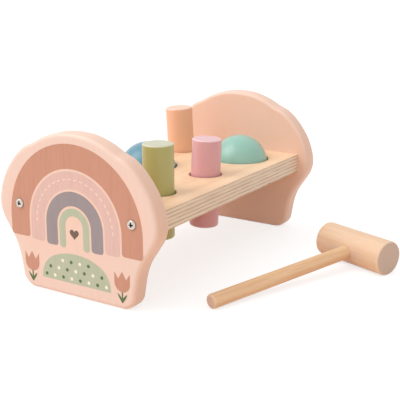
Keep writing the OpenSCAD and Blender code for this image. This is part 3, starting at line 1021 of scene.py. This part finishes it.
# One cross head screw: head towards -Y, with its panel's face at Y 0
def makeScrewMesh():
    top, sink = screw["headHeight"] - screw["sink"], screw["sink"]
    edge, end = screw["headRound"], screw["sink"] + screw["length"]
    flat = screw["headRadius"] - edge
    profile = [(screw["core"], -top)] + arcPoints(flat, edge - top, edge, -90, 0, screw["roundSteps"])
    profile += [(screw["headRadius"], sink), (screw["shank"], sink), (screw["shank"], end - screw["point"]),
                (screw["tip"], end)]
    body = newObject("screw", latheMesh("screw", [(r * mm, h * mm) for r, h in profile], screw["around"]))
    rings, reach = [], screw["span"] / 2
    for height, long, wide in ((-top - screw["past"], reach, screw["armWidth"] / 2),
                               (-top + screw["depth"], reach * screw["armShare"], screw["armTip"] / 2)):
        arm = [(long, -wide), (long, wide), (wide, wide)]
        rings.append([((x * c - y * s) * mm, (x * s + y * c) * mm, height * mm)
                      for c, s in ((1, 0), (0, 1), (-1, 0), (0, -1)) for x, y in arm])
    cutAway(body, [newObject("cross", skinMesh("cross", rings))])

    # marks the cross recess, which gets painted shade
    def inRecess(vertex):
        low, high = (screw["recessTop"] - top) * mm, screw["recessEnd"] * mm
        return float(hypot(vertex.co.x, vertex.co.y) < flat * mm and low < vertex.co.z < high)

    markPoints(body.data, "recessShade", inRecess)
    body.data.transform(Matrix.Rotation(-rightAngle, 4, "X"))
    smoothOver(body.data, screw["smoothAngle"])
    return body


def makeScrewRow():
    group, takes = startTree("screwRow", {
        "Screw": (modelThing, None), "Half Spacing": (number, 0.05), "Height": (number, 0.06),
        "Face": (number, 0.1), "Centre": (number, 0.0), "Most Spin": (number, 0.3), "Seed": (whole, 3),
    })
    index = newTerm(group, "GeometryNodeInputIndex")
    side, back = index % 2.0 * 2.0 - 1.0, calc("GREATER_THAN", index, 1.5)
    x = side * takes["Half Spacing"] + takes["Centre"]
    y = (back * 2.0 - 1.0) * takes["Face"]
    row = newTerm(group, "GeometryNodePoints", {0: 4, 1: joinParts(x, y, takes["Height"])})
    limits = {2: takes["Most Spin"] * -1.0, 3: takes["Most Spin"], 8: takes["Seed"]}
    spin = newTerm(group, "FunctionNodeRandomValue", limits, 1, data_type="FLOAT")
    model = newTerm(group, "GeometryNodeObjectInfo", {0: takes["Screw"]}, "Geometry")
    many = newTerm(group, "GeometryNodeInstanceOnPoints",
                   {0: row, 2: model, 5: joinParts(y=spin, z=back * pi)})
    return endTree(many, takes)


# The even finish of a small part, with painted shade in a recess where its look has one
def plainFinish(name, look, values):
    material, shader, spot = startMaterial(name, values)
    shown = mottled(shader, spot, look["tone"], look)
    if "recessShade" in look:
        shown = blendTones(attributeOf(spot, "recessShade"), shown, look["recessShade"])
    showFinish(shader, shown, noise(spot, look["skinScale"], detail=3.0), look["bump"], 0.0001)
    return material


screwSteel = plainFinish("screwSteel", steelLook, {"Metallic": 0.85, "Specular IOR Level": 0.6})
screwModel = makeScrewMesh()
screws = growPiece("crossScrews", makeScrewRow(), {
    "Screw": screwModel, "Half Spacing": (rightScrew.x - leftScrew.x) / 2, "Height": leftScrew.z,
    "Face": -printFace, "Centre": panelMiddle, "Most Spin": 0.3, "Seed": 40, "Material": screwSteel})
bpy.data.objects.remove(screwModel)
finishPiece(screws, "bench", "screw_steel",
            ["front_screw_left", "front_screw_right", "back_screw_left", "back_screw_right"])

gripRubber = plainFinish("gripRubber", rubberLook, {"Specular IOR Level": 0.3})
for node in gripRings:
    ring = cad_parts[node]
    if not ring.material_slots:
        ring.data.materials.append(gripRubber)
    ring.material_slots[0].material = gripRubber

print("floor, lamps and world")
stage = {
    "floorSize": 8.0, "floorDrop": 0.00002, "aim": (0.0, 0.0, 0.05),
    "floorTone": tone(242, 212, 189), "seenTone": tone(168, 168, 168), "seenGlow": 0.72,
    "sky": 1.0, "ground": 0.55, "skyLow": -0.1, "skyHigh": 0.9,
    "darkSide": (0.85, 0.53, 0.0), "fall": 0.36,     # the sky is dimmer towards this side
    "key": {"place": (-0.88, -0.76, 1.32), "size": 1.3, "power": 11.0},
    "fill": {"place": (1.5, -0.9, 0.7), "size": 1.2, "power": 0.5},
}
white = (1.0, 1.0, 1.0, 1.0)


# 1 for what the camera sees, also in gloss and glass, and 0 for what lights the bench
def seenRays(tree):
    rays, kinds = addNode(tree, "ShaderNodeLightPath", {}).outputs, ("Camera", "Glossy", "Transmission")
    direct, gloss, glass = [Term(tree, rays[f"Is {kind} Ray"]) for kind in kinds]
    return calc("MAXIMUM", direct, calc("MAXIMUM", gloss, glass))


def makeFloor():
    span, drop = stage["floorSize"], stage["floorDrop"]
    corners = [(x * span, y * span, -drop) for x, y in ((-1, -1), (1, -1), (1, 1), (-1, 1))]
    mesh = meshFrom("floor", corners, [(0, 1, 2, 3)])
    if mesh.polygons[0].normal.z < 0:
        mesh.flip_normals()
    material, shader = newMaterial("paleFloor", {
        "Roughness": 0.9, "Specular IOR Level": 0.0, "Emission Color": white})
    seen = seenRays(material.node_tree)
    setSockets(shader, {
        "Base Color": blendTones(seen, stage["floorTone"], stage["seenTone"]),
        "Emission Strength": seen * stage["seenGlow"]})
    mesh.materials.append(material)
    floor = newObject("floor", mesh)


def makeWorld():
    scene.world = bpy.data.worlds.new("studio")
    scene.world.use_nodes = True
    tree = scene.world.node_tree
    way = newTerm(tree, "ShaderNodeTexCoord", output="Generated")
    glow = ramp(splitParts(way)[2], stage["skyLow"], stage["skyHigh"], stage["ground"], stage["sky"])
    glow = glow * (calcVector("DOT_PRODUCT", way, stage["darkSide"]) * -stage["fall"] + 1.0)
    strength = newTerm(tree, "ShaderNodeMix", {0: seenRays(tree), 2: glow, 3: 1.0}, data_type="FLOAT")
    setSockets(tree.nodes["Background"], {"Color": white, "Strength": strength})


def makeLamp(name, sizes):
    lamp = bpy.data.lights.new(name, "AREA")
    lamp.shape = "DISK"
    lamp.size = sizes["size"]
    lamp.energy = sizes["power"]
    holder = newObject(name, lamp)
    holder.location = sizes["place"]
    aim = Vector(stage["aim"]) - Vector(sizes["place"])
    holder.rotation_euler = aim.to_track_quat("-Z", "Y").to_euler()


makeFloor()
makeWorld()
makeLamp("keyLamp", stage["key"])
makeLamp("fillLamp", stage["fill"])
scene.view_settings.view_transform = "Standard"
